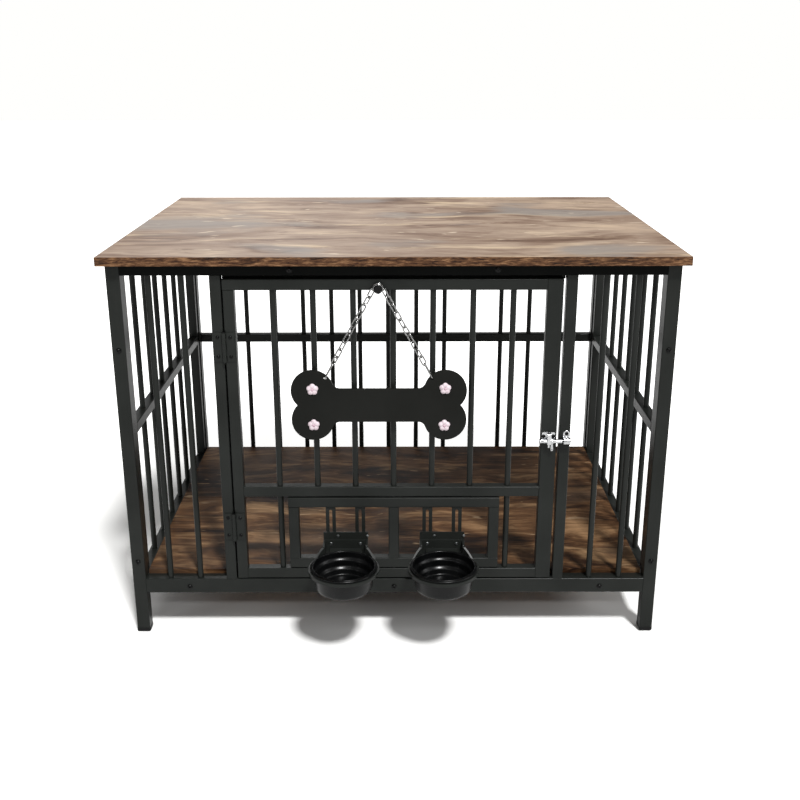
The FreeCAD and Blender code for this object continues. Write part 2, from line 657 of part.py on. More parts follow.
def latch_handle():
    """A collar on the rod with a drop-shaped grip that hangs from it."""
    x = guide_x[1] + HANDLE_GAP
    middle = x + HANDLE_WIDTH / 2
    collar = rod(HANDLE_COLLAR, (x, rod_y, latch_z), (1, 0, 0), HANDLE_WIDTH)
    ball_z = latch_z - HANDLE_DROP + HANDLE_BALL / 2
    ball = Part.makeSphere(HANDLE_BALL / 2, Vector(middle, rod_y, ball_z))
    cone_z = ball_z + HANDLE_CONE_RISE
    cone = Part.makeCone(HANDLE_BALL / 2 - HANDLE_SHOULDER, HANDLE_NECK / 2, latch_z - cone_z,
                         Vector(middle, rod_y, cone_z), Vector(0, 0, 1))
    bore = rod(ROD_DIAMETER + ROD_PLAY, (x, rod_y, latch_z), (1, 0, 0), HANDLE_WIDTH)
    return collar.fuse([ball, cone]).cut(bore).removeSplitter()


def keeper():
    """A plate with a rounded top on the door post and a sleeve that the rod slides into."""
    middle, width = sum(keeper_x) / 2, keeper_x[1] - keeper_x[0]
    plate_y = (front - LATCH_PLATE_THICK, front)
    plate = block(keeper_x, plate_y, (keeper_z[0], keeper_z[1] - width / 2))
    cap = rod(width, (middle, plate_y[0], keeper_z[1] - width / 2), (0, 1, 0), LATCH_PLATE_THICK)
    sleeve = rod(KEEPER_SLEEVE, (keeper_x[0], rod_y, latch_z), (1, 0, 0), width)
    web = block(keeper_x, (rod_y, plate_y[0]), (latch_z - KEEPER_SLEEVE / 2, latch_z + KEEPER_SLEEVE / 2))
    bore = rod(ROD_DIAMETER + KEEPER_PLAY, (keeper_x[0], rod_y, latch_z), (1, 0, 0), width)
    solid = plate.fuse([cap, sleeve, web]).cut(bore).removeSplitter()
    holes = [(x, plate_y[0], z) for x, y, z in post_screws("right")]
    return drilled(solid, holes, (0, 1, 0), SCREW_DIAMETER + SCREW_PLAY, LATCH_PLATE_THICK)


def feeder_flap():
    """The small frame in the lower door that turns on two pins, and the slotted straps on it."""
    y = (front, front + TUBE)
    top = tube((flap_left, flap_right), y, (flap_top - TUBE, flap_top), "X")
    bottom = tube((flap_left, flap_right), y, (flap_bottom, flap_bottom + TUBE), "X")
    hole = FLAP_PIN + FLAP_PIN_PLAY
    top = drilled(top, [(door_centre, rail_centre_y, flap_top)], (0, 0, -1), hole, TUBE / 2)
    bottom = drilled(bottom, [(door_centre, rail_centre_y, flap_bottom)], (0, 0, 1), hole, TUBE / 2)
    between = (flap_bottom + TUBE, flap_top - TUBE)
    uprights = [tube((x, x + TUBE), y, between, "Z")
                for x in (flap_left, door_centre - TUBE / 2, flap_right - TUBE)]
    straps = [strap(x) for bowl_x in bowl_places() for x in strap_places(bowl_x)]
    return {
        "flap_top_rail": [top],
        "flap_bottom_rail": [bottom],
        "flap_uprights": uprights,
        "hanger_straps": straps,
    }


def bowl_places():
    return [door_centre + side * BOWL_SHARE * (flap_right - flap_left) for side in (-1, 1)]


def strap_places(bowl_x):
    return [bowl_x + side * STRAP_OFFSET for side in (-1, 1)]


def strap(x):
    """A slotted strap with a bent lug welded under the flap's top rail."""
    rail = flap_top - TUBE
    y = front + STRAP_SETBACK
    wide = (x - STRAP_WIDTH / 2, x + STRAP_WIDTH / 2)
    upright = block(wide, (y, y + STRAP_THICK), (flap_bottom + STRAP_END_RISE, rail))
    lug = block(wide, (y, y + STRAP_LUG), (rail - STRAP_THICK, rail))
    reach = SLOT_WIDTH / 2
    slot_z = (flap_bottom + SLOT_RISE + reach, rail - SLOT_TOP_GAP - reach)
    slot = block((x - reach, x + reach), (y, y + STRAP_THICK), slot_z)
    ends = [rod(SLOT_WIDTH, (x, y, z), (0, 1, 0), STRAP_THICK) for z in slot_z]
    return upright.fuse(lug).removeSplitter().cut(slot.fuse(ends))


def annulus(outer, inner, centre, z):
    start = (centre[0], centre[1], z[0])
    return rod(2 * outer, start, (0, 0, 1), z[1] - z[0]).cut(rod(2 * inner, start, (0, 0, 1), z[1] - z[0]))


def plate_faces():
    """Front and back of a bracket's plate, which slides on the front of the straps."""
    plate_back = front + STRAP_SETBACK - BRACKET_SLIDE_GAP
    return plate_back - BRACKET_PLATE, plate_back


def bowl_bracket(x):
    """A stepped plate in front of the straps, and cheeks, a neck and a cradle that hold the bowl's ring."""
    plate_y = plate_faces()
    wide = (x - BRACKET_HALF_WIDTH, x + BRACKET_HALF_WIDTH)
    low = bracket_z[0]
    pad_front = front - PAD_PROUD
    solid = block(wide, plate_y, bracket_z)
    solid = solid.fuse(block(wide, (pad_front, plate_y[0]), (low, pad_top_z)))
    ring = annulus(RING_OUTER, RING_OUTER - RING_WIDTH, (x, bowl_y), (ring_z, ring_top))
    neck_y = bowl_y + math.sqrt(RING_OUTER ** 2 - NECK_HALF_WIDTH ** 2) - RING_BITE
    neck = block((x - NECK_HALF_WIDTH, x + NECK_HALF_WIDTH), (neck_y, pad_front), (low, ring_top))
    hollow = rod(2 * (RING_OUTER - RING_BITE), (x, bowl_y, low), (0, 0, 1), ring_top - low)
    solid = solid.fuse([neck.cut(hollow), ring])
    for side in (-1, 1):
        outer = x + side * BRACKET_HALF_WIDTH
        cheek_x = sorted((outer, outer - side * CHEEK_THICK))
        solid = solid.fuse(block(cheek_x, (bowl_y + CHEEK_START, pad_front), (low, pad_top_z)))
        solid = solid.fuse(cradle_arm(x, side))
    screws_x = strap_places(x)
    holes = [(strap_x, pad_front, clamp_z) for strap_x in screws_x]
    solid = drilled(solid, holes, (0, 1, 0), BRACKET_SCREW + SCREW_PLAY, plate_y[1] - pad_front)
    rivets = [(strap_x + RIVET_SHIFT, plate_y[0], flap_bottom + RIVET_RISE) for strap_x in screws_x]
    return drilled(solid, rivets, (0, 1, 0), RIVET_DIAMETER + THREAD_PLAY, BRACKET_PLATE).removeSplitter()


def cradle_arm(x, side):
    """A curved arm outside the ring, whose top slopes down towards the front."""
    low, top = bracket_z[0], cradle_top_z
    outer = RING_OUTER - CRADLE_BITE + CRADLE_THICK
    band = annulus(outer, RING_OUTER - CRADLE_BITE, (x, bowl_y), (low, top))
    near, far = bowl_y + CRADLE_Y[0], bowl_y + CRADLE_Y[1]
    outline = [(near, low), (near, flap_bottom + CRADLE_END_RISE), (far, top), (bowl_y + outer, top),
               (bowl_y + outer, low)]
    corners = [Vector(0, y, z) for y, z in outline]
    face = Part.Face(Part.makePolygon(corners + corners[:1]))
    start = BRACKET_HALF_WIDTH - CHEEK_THICK
    wedge = face.extrude(Vector(side * (outer - start), 0, 0))
    wedge.translate(Vector(x + side * start, 0, 0))
    return band.common(wedge)


def bracket_hardware(x):
    """Slot screws, the clamp plate behind the straps, its nuts, and two rivets."""
    pieces = []
    pad_front = front - PAD_PROUD
    clamp_y = front + STRAP_SETBACK + STRAP_THICK + BRACKET_SLIDE_GAP
    nut_y = clamp_y + CLAMP_THICK
    clamp = block((x - BRACKET_HALF_WIDTH, x + BRACKET_HALF_WIDTH), (clamp_y, nut_y),
                  (clamp_z - CLAMP_HALF_HEIGHT, clamp_z + CLAMP_HALF_HEIGHT))
    length = nut_y + CLAMP_NUT_THICK + BOLT_TAIL - pad_front
    screw = dome_screw(SCREW_HEAD, SCREW_HEAD_HEIGHT, BRACKET_SCREW, length)
    nut = square_nut(CLAMP_NUT, CLAMP_NUT_THICK, BRACKET_SCREW + THREAD_PLAY)
    rivet = dome_screw(RIVET_HEAD, RIVET_HEAD_HEIGHT, RIVET_DIAMETER, BRACKET_PLATE)
    for strap_x in strap_places(x):
        spot = (strap_x, clamp_y, clamp_z)
        clamp = drilled(clamp, [spot], (0, 1, 0), BRACKET_SCREW + THREAD_PLAY, CLAMP_THICK)
        pieces.append(placed(screw, (strap_x, pad_front, clamp_z), (0, -1, 0)))
        pieces.append(placed(nut, (strap_x, nut_y, clamp_z), (0, 1, 0)))
        rivet_spot = (strap_x + RIVET_SHIFT, plate_faces()[0], flap_bottom + RIVET_RISE)
        pieces.append(placed(rivet, rivet_spot, (0, -1, 0)))
    return [clamp] + pieces


def bowl(x):
    """A round bowl with a thick rim that sits on the ring, and two steps inside."""
    body = RING_OUTER - RING_WIDTH - BOWL_RING_PLAY
    outline = [(0, bowl_floor_z), (BOWL_BASE_RADIUS, bowl_floor_z), (body, ring_top),
               (BOWL_RIM_RADIUS, ring_top), (BOWL_RIM_RADIUS, bowl_rim_top), (0, bowl_rim_top)]
    solid = turned(outline)
    for height, radius in ((bowl_floor_z, BOWL_BASE_ROUND), (bowl_rim_top, BOWL_RIM_ROUND)):
        edges = [e for e in solid.Edges
                 if e.Closed and abs(e.BoundBox.ZMin - height) + abs(e.BoundBox.ZMax - height) < 0.1]
        solid = solid.makeFillet(radius, edges)
    floor = bowl_floor_z + BOWL_FOOT
    steps = [(0, floor)] + [(r, floor + rise) for r, rise in BOWL_INNER_STEPS]
    steps += [(body - BOWL_WALL, bowl_rim_top - BOWL_RIM_HEIGHT / 2), (body, bowl_rim_top + 1),
              (0, bowl_rim_top + 1)]
    solid = solid.cut(turned(steps))
    solid.translate(Vector(x, bowl_y, 0))
    return solid


def turned(outline):
    """A solid of revolution about Z from (radius, height) corners."""
    corners = [Vector(r, 0, z) for r, z in outline]
    face = Part.Face(Part.makePolygon(corners + corners[:1]))
    return face.revolve(Vector(0, 0, 0), Vector(0, 0, 1), 360)


def feeders():
    parts = {}
    for name, x in zip(("left", "right"), bowl_places()):
        parts[f"{name}_bowl_bracket"] = [bowl_bracket(x)]
        parts[f"{name}_bracket_hardware"] = bracket_hardware(x)
        parts[f"{name}_bowl"] = [bowl(x)]
    return parts


def bone_outline():
    """The bone: two round lobes at each end, a notch between them, and filleted shoulders to the waist."""
    rise = SIGN_WAIST + SIGN_FILLET - LOBE_Z
    run = math.sqrt((LOBE_RADIUS + SIGN_FILLET) ** 2 - rise ** 2)
    shoulder_x = LOBE_X - run
    share = LOBE_RADIUS / (LOBE_RADIUS + SIGN_FILLET)
    touch = (LOBE_X - run * share, LOBE_Z + rise * share)
    bend = math.atan2(touch[1] - SIGN_WAIST - SIGN_FILLET, touch[0] - shoulder_x)
    bend_middle = (bend - math.pi / 2) / 2
    fillet_mid = (shoulder_x + SIGN_FILLET * math.cos(bend_middle),
                  SIGN_WAIST + SIGN_FILLET + SIGN_FILLET * math.sin(bend_middle))
    notch_x = LOBE_X + math.sqrt(LOBE_RADIUS ** 2 - LOBE_Z ** 2)
    lobe_angle = math.radians(LOBE_MIDDLE_ANGLE)
    lobe_mid = (LOBE_X + LOBE_RADIUS * math.cos(lobe_angle), LOBE_Z + LOBE_RADIUS * math.sin(lobe_angle))
    quarter = [("line", (0, SIGN_WAIST), (shoulder_x, SIGN_WAIST)),
               ("arc", (shoulder_x, SIGN_WAIST), fillet_mid, touch),
               ("arc", touch, lobe_mid, (notch_x, 0))]
    edges = []
    for sx, sz in ((1, 1), (1, -1), (-1, -1), (-1, 1)):
        for kind, *points in quarter:
            where = [Vector(peg_x + sx * px, 0, sign_z + sz * pz) for px, pz in points]
            curve = Part.Arc(*where) if kind == "arc" else Part.LineSegment(*where)
            edges.append(curve.toShape())
    return Part.Wire(Part.__sortEdges__(edges))


def chain_holes():
    """The two holes in the upper lobes that the wire loops pass through."""
    reach = LOBE_RADIUS - CHAIN_HOLE_INSET
    angle = math.radians(CHAIN_HOLE_ANGLE)
    x, z = LOBE_X - reach * math.cos(angle), LOBE_Z + reach * math.sin(angle)
    return [Vector(peg_x + side * x, sign_y, sign_z + z) for side in (-1, 1)]


def bone_sign():
    face = Part.Face(bone_outline())
    board = face.extrude(Vector(0, SIGN_THICK, 0))
    front_y = sign_y - SIGN_THICK / 2
    board.translate(Vector(0, front_y, 0))
    for hole in chain_holes():
        board = board.cut(rod(CHAIN_HOLE, (hole.x, front_y, hole.z), (0, 1, 0), SIGN_THICK))
    spots = [(peg_x + x, front_y, sign_z + z) for x, z in KNOB_SPOTS]
    return drilled(board, spots, (0, 1, 0), KNOB_STEM + STEM_PLAY, SIGN_THICK)


def link(start, end, roll):
    """An oval link whose wire's middle line runs from start to end, rolled about that line."""
    radius = (LINK_WIDTH - LINK_WIRE) / 2
    straight = (end - start).Length - 2 * radius
    circle = Part.Wire(Part.Circle(Vector(radius, 0, 0), Vector(0, 0, 1), LINK_WIRE / 2).toShape())
    section = Part.Face(circle)
    side = section.extrude(Vector(0, 0, straight))
    bend = section.revolve(Vector(0, 0, 0), Vector(0, 1, 0), 180)
    pieces = [side, side.mirror(Vector(0, 0, 0), Vector(1, 0, 0)), bend]
    far_bend = bend.mirror(Vector(0, 0, straight / 2), Vector(0, 0, 1))
    solid = pieces[0].fuse(pieces[1:] + [far_bend]).removeSplitter()
    solid.translate(Vector(0, 0, -straight / 2))
    turn = Rotation(Vector(0, 0, 1), end - start).multiply(Rotation(Vector(0, 0, 1), roll))
    solid.Placement = Placement((start + end) / 2, turn).multiply(solid.Placement)
    return solid


def crest_link(centre, reach):
    """The top link, bent round the peg, and where the next links hang from its ends."""
    half = (LINK_WIDTH - LINK_WIRE) / 2
    bend = math.radians(CREST_ANGLE)
    outward = Vector(math.sin(bend), 0, math.cos(bend))
    along = Vector(math.cos(bend), 0, -math.sin(bend))
    end = centre + outward * reach
    circle = Part.Circle(centre + Vector(0, half, reach), Vector(1, 0, 0), LINK_WIRE / 2)
    section = Part.Face(Part.Wire(circle.toShape()))
    arc = section.revolve(centre, Vector(0, 1, 0), CREST_ANGLE)
    last = section.rotated(centre, Vector(0, 1, 0), CREST_ANGLE)
    pieces = [arc, arc.mirror(centre, Vector(0, 1, 0)), last.revolve(end, outward * -1, 180)]
    pieces += [piece.mirror(centre, Vector(1, 0, 0)) for piece in pieces]
    hang = end + along * (half - (LINK_GAP + LINK_WIRE) / 2)
    return pieces[0].fuse(pieces[1:]).removeSplitter(), hang - centre


def sign_chain():
    """A bent link over the peg, a run of links down each side, and a long wire loop through each hole."""
    centre = Vector(peg_x, sign_y, peg_z)
    crest, hang = crest_link(centre, PEG_DIAMETER / 2 + PEG_CLEARANCE + LINK_WIRE / 2)
    overlap = (LINK_GAP + LINK_WIRE) / 2
    links = [crest]
    for side, hole in zip((-1, 1), chain_holes()):
        first = centre + Vector(side * hang.x, 0, hang.z)
        line = hole - first
        count = int((line.Length - LOOP_SHORTEST) / LINK_PITCH)
        step = line.normalize()
        for i in range(count):
            start = first + step * (LINK_PITCH * i - overlap)
            end = first + step * (LINK_PITCH * (i + 1) + overlap)
            links.append(link(start, end, LINK_ROLLS[i % 2]))
        links.append(link(first + step * (LINK_PITCH * count - overlap), hole, LOOP_ROLL))
    return links


def flower_knob(x, z):
    """A five-petal knob on the front of the sign with a stem through it."""
    front_y = sign_y - SIGN_THICK / 2
    petals = []
    for i in range(PETAL_COUNT):
        angle = 2 * math.pi * i / PETAL_COUNT + math.pi / 2
        centre = Vector(x + PETAL_CIRCLE * math.cos(angle), front_y, z + PETAL_CIRCLE * math.sin(angle))
        petals.append(Part.makeSphere(PETAL_RADIUS, centre))
    middle = Part.makeSphere(KNOB_CENTRE, Vector(x, front_y, z))
    reach = PETAL_CIRCLE + PETAL_RADIUS
    room = block((x - reach, x + reach), (front_y - KNOB_HEIGHT, front_y), (z - reach, z + reach))
    stem = rod(KNOB_STEM, (x, front_y, z), (0, 1, 0), SIGN_THICK)
    return middle.fuse(petals).common(room).fuse(stem).removeSplitter()


def sign():
    knobs = [flower_knob(peg_x + x, sign_z + z) for x, z in KNOB_SPOTS]
    return {"bone_sign": [bone_sign()], "sign_chain": sign_chain(), "flower_knobs": knobs}


def screws():
    """Small screws of the hinge leaves, the keeper and the latch plate."""
    crate = screws_at(post_screws("left"), LEAF_THICK) + screws_at(post_screws("right"), LATCH_PLATE_THICK)
    on_door = screws_at(leaf_screws(1), LEAF_THICK) + screws_at(latch_screws(), LATCH_PLATE_THICK)
    return {"post_screws": crate, "door_screws": on_door}


def all_parts():
    parts = {}
    for made in (table_top(), legs(), foot_caps(), front_frame(), door_stops(), back_frame(),
                 side_panel("left", -1), side_panel("right", 1), carriers_and_floor(), bolts_and_nuts(),
                 hinges(), door(), latch(), feeder_flap(), feeders(), sign(), screws()):
        parts.update(made)
    return parts


os.makedirs("parts", exist_ok=True)
for node, solids in all_parts().items():
    shape = solids[0] if len(solids) == 1 else Part.makeCompound(solids)
    shape.exportStep(f"parts/{node}.step")
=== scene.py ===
import math

import bmesh
import bpy
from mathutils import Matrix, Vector


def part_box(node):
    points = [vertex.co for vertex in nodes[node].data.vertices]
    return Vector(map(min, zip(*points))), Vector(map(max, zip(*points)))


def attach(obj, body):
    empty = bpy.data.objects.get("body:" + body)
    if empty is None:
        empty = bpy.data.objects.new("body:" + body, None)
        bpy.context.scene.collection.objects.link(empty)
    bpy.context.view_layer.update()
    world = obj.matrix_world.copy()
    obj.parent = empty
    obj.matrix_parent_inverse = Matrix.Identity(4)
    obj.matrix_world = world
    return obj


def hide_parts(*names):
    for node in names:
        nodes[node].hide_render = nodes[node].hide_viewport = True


# Dog crate end table, in metres, in the frame of the CAD model. +Z is up and -Y is the front.

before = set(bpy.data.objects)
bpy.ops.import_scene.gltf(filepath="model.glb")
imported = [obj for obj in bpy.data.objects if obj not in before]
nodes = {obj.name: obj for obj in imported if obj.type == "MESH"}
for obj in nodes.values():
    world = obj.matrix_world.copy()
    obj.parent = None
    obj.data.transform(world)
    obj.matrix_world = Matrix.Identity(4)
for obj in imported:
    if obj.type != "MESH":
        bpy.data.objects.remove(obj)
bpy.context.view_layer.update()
MM = 0.001
SAME_PLACE = 0.01 * MM  # two spots nearer than this are one

# The photograph's camera, found by fitting the legs and the table top to the picture
CAMERA_PLACE = (0.00969, -2.1099, 1.09257)
CAMERA_TILT = (71.362, 0.064, -0.060)  # degrees about X, Y and Z
CAMERA_LENS = 46.903  # millimetres, as is the sensor's width
SENSOR = 36.0

# Light in the studio
SUN_TRAVEL = (-0.24, 0.62, -1.0)
SUN_STRENGTH = 3.5
SUN_SPREAD = 0.13
SKY_STRENGTH = 0.17
BACKDROP_WHITE = (1.0, 1.0, 0.985, 1.0)
GROUND_WHITE = (0.80, 0.80, 0.79, 1.0)
GROUND_SIZE = 30.0
GROUND_FADE = (0.40, 0.60)  # how far back the ground turns to white backdrop behind the crate
GROUND_GLOW = (0.0, 0.62)  # its glow to the camera before and after that
# Name, place, the spot it faces, width and height, and power in watts
SOFT_LIGHTS = [
    ("back_light", (-0.6, 2.6, 2.4), (0.0, 0.0, 0.6), (1.2, 1.2), 22.0),
    ("side_light", (3.0, -0.6, 1.9), (0.0, 0.0, 0.4), (0.9, 0.9), 16.0),
    ("front_strip", (0.0, -2.8, 1.95), (0.0, -0.3, 0.2), (3.4, 0.2), 14.0),
    ("left_strip", (-2.6, -1.7, 1.4), (0.0, -0.3, 0.3), (0.3, 1.6), 4.0),
    ("right_strip", (2.6, -1.7, 1.4), (0.0, -0.3, 0.3), (0.3, 1.6), 4.0),
]


# ---- Shader values -------------------------------------------------------------------------------

class Value:
    """A number, colour or vector on its way through the nodes of one finish."""

    def __init__(self, finish, socket):
        self.finish, self.socket = finish, socket

    def worked(self, operation, *others):
        return self.finish.node("Math", {"operation": operation}, dict(enumerate((self,) + others)))

    def __add__(self, other):
        return self.worked("ADD", other)

    def __sub__(self, other):
        return self.worked("SUBTRACT", other)

    def __mul__(self, other):
        return self.worked("MULTIPLY", other)

    __radd__, __rmul__ = __add__, __mul__

    def span(self, low, high, to_low=0.0, to_high=1.0):
        """The value stretched from one range to another, and held inside it."""
        return self.finish.node("MapRange", {"clamp": True}, {
            "Value": self, "From Min": low, "From Max": high, "To Min": to_low, "To Max": to_high})


class Finish:
    """A material in the making, whose shader is one Principled node."""

    def __init__(self, name, **constants):
        self.material = bpy.data.materials.new(name)
        self.material.use_nodes = True
        self.tree = self.material.node_tree
        self.shader = self.tree.nodes["Principled BSDF"]
        for socket, value in constants.items():
            self.shader.inputs[socket.replace("_", " ")].default_value = value

    def node(self, kind, settings=(), inputs=(), output=0):
        """Adds a node: its settings first, then the values or links of its sockets."""
        made = self.tree.nodes.new("ShaderNode" + kind)
        for key, value in dict(settings).items():
            if key == "stops":
                while len(made.color_ramp.elements) < len(value):
                    made.color_ramp.elements.new(0.5)
                for element, (place, colour) in zip(made.color_ramp.elements, value):
                    element.position, element.color = place, (*colour, 1.0)
            else:
                setattr(made, key, value)
        for key, value in dict(inputs).items():
            if isinstance(value, Value):
                self.tree.links.new(value.socket, made.inputs[key])
            else:
                made.inputs[key].default_value = value
        return Value(self, made.outputs[output])

    def place(self, scale=(1, 1, 1), shift=(0, 0, 0)):
        """Object coordinates, stretched and moved."""
        coordinates = self.node("TexCoord", output="Object")
        return self.node("Mapping", {}, {"Vector": coordinates, "Scale": scale, "Location": shift})

    def stretched(self, where, scale, shift=(0, 0, 0)):
        """Coordinates that are already in hand, stretched and moved."""
        return self.node("Mapping", {}, {"Vector": where, "Scale": scale, "Location": shift})

    def noise(self, where, scale, detail=2.0, roughness=0.5, distortion=0.0):
        return self.node("TexNoise", {}, {"Vector": where, "Scale": scale, "Detail": detail,
                                          "Roughness": roughness, "Distortion": distortion})

    def ramp(self, value, stops):
        """A value turned to colour, by (position, colour) stops."""
        return self.node("ValToRGB", {"stops": stops}, {"Fac": value})

    def blend(self, share, first, second):
        """Two colours blended."""
        wide = [c if isinstance(c, Value) else (*c, 1.0) for c in (first, second)]
        return self.node("Mix", {"data_type": "RGBA"}, {0: share, 6: wide[0], 7: wide[1]}, output=2)

    def moved(self, where, by, reach):
        """Coordinates pushed about by a colour."""
        push = self.node("VectorMath", {"operation": "MULTIPLY"}, {0: by, 1: reach})
        return self.node("VectorMath", {"operation": "ADD"}, {0: where, 1: push})

    def feed(self, **sockets):
        """Links values to the shader's sockets, whose names are written with underscores."""
        for name, value in sockets.items():
            self.tree.links.new(value.socket, self.shader.inputs[name.replace("_", " ")])

    def bumped(self, height, strength, depth):
        """Adds fine relief, and gives back the finished material."""
        self.feed(Normal=self.node("Bump", {}, {"Height": height, "Strength": strength, "Distance": depth}))
        return self.material


# ---- Finishes ------------------------------------------------------------------------------------

def wood_laminate(name, tones, pale, grey, fleck, shift):
    """Rustic laminate with its grain along X: swirled patches from dark to tan, wavy growth lines, cream
    streaks, greyish clouds, pale flecks and knots."""
    finish = Finish(name, Specular_IOR_Level=0.12)
    bent = finish.place(shift=shift)
    for scale, reach in (((2.6, 5.2, 5.2), (0.30, 0.16, 0.16)), ((9.0, 19.0, 19.0), (0.050, 0.024, 0.024))):
        swirl = finish.node("TexNoise", {}, {"Vector": finish.place(scale, shift), "Scale": 1.0,
                                             "Detail": 2.0}, output="Color")
        bent = finish.moved(bent, swirl, reach)
    patches = finish.noise(finish.stretched(bent, (4.2, 10.0, 10.0)), 1.0, 5.0, 0.55, 0.5)
    growth = finish.noise(finish.stretched(bent, (2.6, 30.0, 30.0), (7.0, 3.0, 0.0)), 1.0, 4.0, 0.66, 0.25)
    lines = finish.noise(finish.stretched(bent, (7.0, 150.0, 150.0), (2.0, 9.0, 0.0)), 1.0, 3.0, 0.62)
    pores = finish.noise(finish.stretched(bent, (34.0, 620.0, 620.0)), 1.0, 2.0, 0.6)
    knots = finish.node("TexVoronoi", {"feature": "F1"}, {
        "Vector": finish.stretched(bent, (2.2, 4.2, 4.2)), "Scale": 1.0})
    near_knot = knots.span(0.02, 0.20, 1.0, 0.0)
    rings = (knots * 80.0).worked("SINE").span(-1.0, 1.0)
    tone = (patches * 0.52 + growth * 0.34 + lines * 0.20 + pores * 0.05 - 0.055
            + near_knot * (rings * 0.14 - 0.13))
    colour = finish.ramp(tone, [(0.36, tones[0]), (0.45, tones[1]), (0.535, tones[2]), (0.64, tones[3])])
    cream = finish.noise(finish.stretched(bent, (3.4, 17.0, 17.0), (5.0, 1.0, 0.0)), 1.0, 4.0, 0.6, 0.3)
    colour = finish.blend(cream.span(0.56, 0.68, 0.0, 0.72) * lines.span(0.35, 0.6, 0.5, 1.0), colour, pale)
    dull = finish.noise(finish.stretched(bent, (3.0, 6.0, 6.0), (3.1, 7.7, 0.0)), 1.0, 3.0)
    colour = finish.blend(dull.span(0.55, 0.66, 0.0, 0.72), colour, grey)
    dark_line = (lines * 0.55 + growth * 0.45).span(0.33, 0.42, 0.62, 0.0)
    colour = finish.blend(dark_line, colour, tones[0])
    flecks = finish.noise(finish.stretched(bent, (15.0, 64.0, 64.0), (11.0, 5.0, 0.0)), 1.0, 2.0, 0.5, 0.4)
    colour = finish.blend(flecks.span(0.68, 0.74, 0.0, 0.8), colour, fleck)
    finish.feed(Base_Color=colour, Roughness=(pores * 0.14 + patches * 0.12 + 0.36))
    return finish.bumped(pores * 0.6 + lines * 0.4, 0.12, 0.0004)


def banded_edge(name):
    """Wood-grain edge banding: dark grain along the edge with short, fine flecks."""
    finish = Finish(name, Specular_IOR_Level=0.2)
    wavy = finish.noise(finish.place((26.0, 26.0, 190.0)), 1.0, 5.0, 0.68, 0.8)
    fine = finish.noise(finish.place((62.0, 62.0, 480.0)), 1.0, 4.0, 0.75)
    colour = finish.ramp(wavy * 0.5 + fine * 0.5, [
        (0.39, (0.010, 0.004, 0.002)), (0.46, (0.050, 0.020, 0.008)), (0.53, (0.120, 0.056, 0.025)),
        (0.61, (0.270, 0.145, 0.070))])
    finish.feed(Base_Color=colour, Roughness=fine * 0.2 + 0.40)
    return finish.bumped(wavy, 0.15, 0.0003)


def powder_coat(name, dark, pale, roughness, grain=1500.0, gloss=0.16):
    """Satin powder coat: a faint orange peel, with small drifts of tone and sheen."""
    finish = Finish(name, Specular_IOR_Level=gloss)
    peel = finish.noise(finish.place(), grain, 2.0)
    drift = finish.noise(finish.place(), 9.0, 3.0)
    speck = finish.noise(finish.place(shift=(4.0, 2.0, 1.0)), 420.0, 1.0)
    colour = finish.blend(drift.span(0.35, 0.65) * 0.75 + speck.span(0.55, 0.75) * 0.25, dark, pale)
    finish.feed(Base_Color=colour, Roughness=drift * 0.10 + peel * 0.08 + (roughness - 0.09))
    return finish.bumped(peel, 0.10, 0.0003)


def bright_metal(name, tint, roughness, scratch):
    """Plated metal with fine rub marks and a slight haze."""
    finish = Finish(name, Metallic=1.0)
    haze = finish.noise(finish.place(), 60.0, 3.0)
    rubs = finish.noise(finish.place((1.0, 1.0, 0.12)), 2600.0, 2.0)
    colour = finish.blend(haze.span(0.3, 0.7), [c * 0.86 for c in tint], tint)
    finish.feed(Base_Color=colour, Roughness=haze * 0.10 + rubs * scratch + (roughness - 0.05))
    return finish.bumped(rubs, 0.06, 0.0001)


def moulded_plastic(name, dark, pale, roughness, grain, mottle=30.0, gloss=0.35):
    """Moulded plastic with a fine surface grain."""
    finish = Finish(name, Specular_IOR_Level=gloss)
    skin = finish.noise(finish.place(), grain, 2.0)
    cloud = finish.noise(finish.place(), mottle, 2.0)
    finish.feed(Base_Color=finish.blend(cloud.span(0.3, 0.7), dark, pale),
                Roughness=skin * 0.10 + cloud * 0.08 + (roughness - 0.09))
    return finish.bumped(skin, 0.08, 0.0002)


# Tones from dark to light, then cream streaks, greyish clouds, flecks and the place in the pattern
TABLE_WOOD = wood_laminate("rustic_table_laminate", [
    (0.112, 0.062, 0.038), (0.240, 0.160, 0.114), (0.355, 0.262, 0.196), (0.490, 0.368, 0.268)],
    (0.680, 0.530, 0.360), (0.255, 0.232, 0.214), (0.70, 0.58, 0.44), (0.0, 0.0, 0.0))
# The floor is the table top's laminate with its tones painted much darker: painted shade for the floor under
# the table top
PAINTED_SHADE_FLOOR_WOOD = wood_laminate("rustic_laminate_painted_shade", [
    (0.003, 0.001, 0.001), (0.028, 0.012, 0.005), (0.105, 0.052, 0.023), (0.320, 0.190, 0.095)],
    (0.330, 0.205, 0.105), (0.055, 0.035, 0.024), (0.32, 0.22, 0.13), (1.7, 0.6, 0.0))
EDGE_WOOD = banded_edge("wood_edge_banding")

